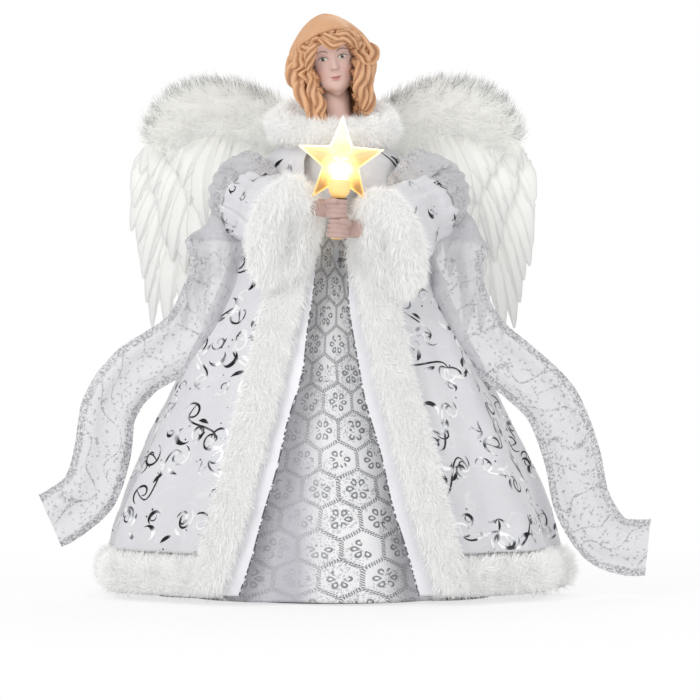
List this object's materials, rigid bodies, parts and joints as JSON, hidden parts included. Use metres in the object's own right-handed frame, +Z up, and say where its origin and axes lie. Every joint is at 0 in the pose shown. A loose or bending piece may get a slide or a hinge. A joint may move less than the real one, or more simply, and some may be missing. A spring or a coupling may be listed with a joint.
{
  "type": "angel tree topper",
  "caption": "Tree-top angel with feather wings, a fur-trimmed satin robe and a battery-lit star, hollow beneath to slip over the top of a tree.",
  "frame": {"origin": "middle of the footprint on the surface that the angel stands on, which is also the plane of the support cone's rim", "axes": "+X towards the figure's left hand, along the widest reach of the shawl's tails; the figure faces -Y; +Z up"},
  "size_m": [0.316, 0.1694, 0.3051],
  "materials": {
    "cone_board": "matte",
    "foam": "matte",
    "skin_paint": "satin",
    "hair_paint": "satin",
    "steel": "satin",
    "padding": "matte",
    "candle": "satin",
    "lamp": "gloss",
    "star_clear": "gloss",
    "satin": "satin",
    "brocade": "satin",
    "robe_satin": "satin",
    "fur": "matte",
    "gauze": "satin",
    "feather": "matte",
    "down": "matte",
    "white_plastic": "satin",
    "cell_wrap": "satin",
    "lead_sheath": "matte"
  },
  "bodies": {
    "figure": {"support_cone": "cone_board", "torso_form": "foam", "head": "skin_paint", "hand_right": "skin_paint", "hand_left": "skin_paint", "hair": "hair_paint", "arm_wire": "steel", "contact_right": "steel", "contact_left": "steel", "contact_bridge": "steel", "contact_spring_right": "steel", "contact_spring_left": "steel", "arm_padding_right": "padding", "arm_padding_left": "padding", "battery_pad": "padding", "candle_socket": "candle", "led_lamp": "lamp", "bodice": "satin", "dress": "brocade", "robe": "robe_satin", "sleeve_right": "robe_satin", "sleeve_left": "robe_satin", "fur_trim_right": "fur", "fur_trim_left": "fur", "fur_hem": "fur", "fur_collar": "fur", "fur_cuff_right": "fur", "fur_cuff_left": "fur", "shawl": "gauze", "wing_anchor": "white_plastic", "battery_case": "white_plastic", "cell_right": "cell_wrap", "cell_left": "cell_wrap", "supply_lead": "lead_sheath"},
    "star_shade": {"star_front": "star_clear", "star_back": "star_clear"},
    "battery_cover": {"battery_lid": "white_plastic"},
    "power_switch": {"switch_knob": "white_plastic"},
    "wing_right": {"wing_plate_right": "white_plastic", "wing_stem_right": "steel", "wing_primaries_right": "feather", "wing_secondaries_right": "feather", "wing_coverts_right": "feather", "wing_down_right": "down"},
    "wing_left": {"wing_plate_left": "white_plastic", "wing_stem_left": "steel", "wing_primaries_left": "feather", "wing_secondaries_left": "feather", "wing_coverts_left": "feather", "wing_down_left": "down"}
  },
  "joints": [
    {"name": "star_pull", "type": "slide", "parent": "figure", "child": "star_shade", "axis": [0.0523, 0, 0.9986], "range_m": [0, 0.02]},
    {"name": "battery_cover_slide", "type": "slide", "parent": "figure", "child": "battery_cover", "axis": [0, 0.2425, -0.9701], "range_m": [0, 0.055]},
    {"name": "switch_slide", "type": "slide", "parent": "figure", "child": "power_switch", "axis": [1, 0, 0], "range_m": [0, 0.004]},
    {"name": "wing_fold_right", "type": "hinge", "parent": "figure", "child": "wing_right", "pos_m": [-0.0215, 0.02661, 0.225], "axis": [0, 0, -1], "range_deg": [0, 25]},
    {"name": "wing_fold_left", "type": "hinge", "parent": "figure", "child": "wing_left", "pos_m": [0.0045, 0.02661, 0.225], "axis": [0, 0, 1], "range_deg": [0, 25]}
  ]
}
